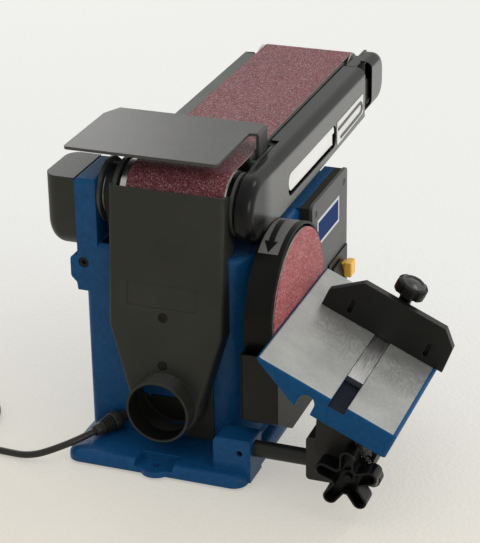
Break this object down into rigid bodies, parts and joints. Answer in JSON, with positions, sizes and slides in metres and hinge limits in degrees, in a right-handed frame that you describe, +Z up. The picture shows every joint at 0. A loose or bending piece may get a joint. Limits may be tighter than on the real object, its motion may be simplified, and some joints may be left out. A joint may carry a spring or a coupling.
{
  "type": "belt and disc sander",
  "caption": "Bench sander with a tilting abrasive belt arm, a side abrasive disc, a tilting slotted table with mitre gauge, a front dust chute and a mains lead.",
  "frame": {"origin": "on the bench, midway between the two bench bolts", "axes": "+X towards the disc's side, +Y towards the rear end of the belt arm, +Z up"},
  "size_m": [0.6087, 0.5275, 0.3105],
  "materials": {
    "blue_paint": "glossy paint on rough casting",
    "rubber": "matte",
    "plug_plastic": "matte",
    "motor_steel": "machined",
    "aluminium": "turned",
    "dark_plastic": "fine texture",
    "black_plastic": "satin",
    "grey_plastic": "satin",
    "white_plastic": "satin",
    "yellow_plastic": "glossy",
    "label_blue": "printed film",
    "frame_paint": "satin paint",
    "stop_paint": "fine texture",
    "belt_grit": "abrasive grit on cloth",
    "disc_grit": "abrasive grit on cloth",
    "drive_rubber": "toothed",
    "black_metal": "black finish",
    "table_metal": "ground top, painted skirt",
    "bright_steel": "zinc plated"
  },
  "bodies": {
    "base": {"base_casting": "blue_paint", "rubber_feet": "rubber", "motor_shell": "motor_steel", "motor_flange": "aluminium", "stator": "motor_steel", "motor_bearings": "motor_steel", "drive_belt": "drive_rubber", "left_cover": "dark_plastic", "arm_lock_screw": "bright_steel", "dust_chute": "dark_plastic", "chute_screws": "bright_steel", "disc_guard": "dark_plastic", "lower_guard": "dark_plastic", "switch_panel": "grey_plastic", "switch_screws": "bright_steel", "switch_body": "dark_plastic", "front_plate": "label_blue", "cord_gland": "rubber", "rod_set_screw": "bright_steel", "cord": "rubber", "cord_coil": "rubber", "plug": "plug_plastic"},
    "spindle": {"motor_shaft": "motor_steel", "rotor": "motor_steel", "motor_fan": "dark_plastic", "motor_pulley": "dark_plastic", "disc_plate": "aluminium", "abrasive_disc": "disc_grit"},
    "arm": {"arm_frame": "frame_paint", "arm_cover": "black_plastic", "arm_end_cap": "black_plastic", "drum_bearings": "motor_steel", "sanding_belt": "belt_grit", "lever_pivot": "bright_steel", "tension_spring": "bright_steel"},
    "drum": {"drive_drum": "aluminium", "drum_shaft": "motor_steel", "drum_pulley": "dark_plastic"},
    "fork": {"idler_fork": "aluminium", "idler_axle": "motor_steel", "tension_link": "bright_steel"},
    "idler": {"idler_drum": "aluminium"},
    "lever": {"tension_lever": "white_plastic"},
    "tracker": {"tracking_knob": "black_plastic"},
    "stop": {"work_stop": "stop_paint", "stop_bolt": "bright_steel"},
    "carriage": {"table_rod": "black_metal", "rod_bracket": "black_metal"},
    "table": {"table_top": "table_metal", "table_trunnion": "black_metal", "angle_pointer": "bright_steel", "pointer_screw": "bright_steel", "scale_plate": "bright_steel"},
    "star": {"tilt_knob": "black_plastic"},
    "gauge": {"mitre_bar": "bright_steel"},
    "gauge_head": {"mitre_head": "black_metal"},
    "gauge_knob": {"mitre_knob": "black_plastic"},
    "paddle": {"switch_paddle": "black_plastic"},
    "key": {"safety_key": "yellow_plastic"}
  },
  "joints": [
    {"name": "arm_tilt", "type": "hinge", "parent": "base", "child": "arm", "pos_m": [0.0037, -0.065, 0.25845], "axis": [1, 0, 0], "range_deg": [0, 90]},
    {"name": "disc_spin", "type": "hinge", "parent": "base", "child": "spindle", "pos_m": [0.112, -0.044, 0.15345], "axis": [1, 0, 0], "continuous": true},
    {"name": "drum_spin", "type": "hinge", "parent": "arm", "child": "drum", "pos_m": [0.0037, -0.065, 0.25845], "axis": [1, 0, 0], "continuous": true},
    {"name": "idler_slide", "type": "slide", "parent": "arm", "child": "fork", "axis": [0, 1, 0], "range_m": [-0.01, 0], "deforming": ["tension_spring"]},
    {"name": "idler_spin", "type": "hinge", "parent": "fork", "child": "idler", "pos_m": [0.0037, 0.30685, 0.26945], "axis": [1, 0, 0], "continuous": true},
    {"name": "tension_lever", "type": "hinge", "parent": "arm", "child": "lever", "pos_m": [0.0763, 0.15685, 0.25045], "axis": [0, 0, 1], "range_deg": [0, 80]},
    {"name": "tracking_turn", "type": "hinge", "parent": "arm", "child": "tracker", "pos_m": [0.0625, 0.28485, 0.25745], "axis": [1, 0, 0], "range_deg": [-90, 90]},
    {"name": "stop_fold", "type": "hinge", "parent": "arm", "child": "stop", "pos_m": [0.0595, 0.003, 0.28], "axis": [1, 0, 0], "range_deg": [-35, 0]},
    {"name": "table_slide", "type": "slide", "parent": "base", "child": "carriage", "axis": [1, 0, 0], "range_m": [0, 0.025]},
    {"name": "table_tilt", "type": "hinge", "parent": "carriage", "child": "table", "pos_m": [0.203, -0.1565, 0.0475], "axis": [0, 1, 0], "range_deg": [0, 20]},
    {"name": "tilt_knob_turn", "type": "hinge", "parent": "carriage", "child": "star", "pos_m": [0.203, -0.1565, 0.0475], "axis": [0, 1, 0], "range_deg": [-180, 180]},
    {"name": "mitre_slide", "type": "slide", "parent": "table", "child": "gauge", "axis": [0, 1, 0], "range_m": [-0.05, 0.06]},
    {"name": "mitre_swivel", "type": "hinge", "parent": "gauge", "child": "gauge_head", "pos_m": [0.19548, -0.012, 0.12648], "axis": [0.4131, 0, 0.9107], "range_deg": [-45, 45]},
    {"name": "mitre_knob_turn", "type": "hinge", "parent": "gauge_head", "child": "gauge_knob", "pos_m": [0.20167, -0.012, 0.14014], "axis": [0.4131, 0, 0.9107], "range_deg": [-180, 180]},
    {"name": "switch_press", "type": "hinge", "parent": "base", "child": "paddle", "pos_m": [0.093, 0.107, 0.11905], "axis": [0, 1, 0], "range_deg": [0, 6]},
    {"name": "key_pull", "type": "slide", "parent": "base", "child": "key", "axis": [1, 0, 0], "range_m": [0, 0.015]}
  ],
  "couplings": [
    {"joint": "drum_spin", "follows": "disc_spin", "ratio": 0.66667},
    {"joint": "idler_spin", "follows": "disc_spin", "ratio": 1.0078},
    {"joint": "idler_slide", "follows": "tension_lever", "m_per_rad": -0.007162}
  ]
}
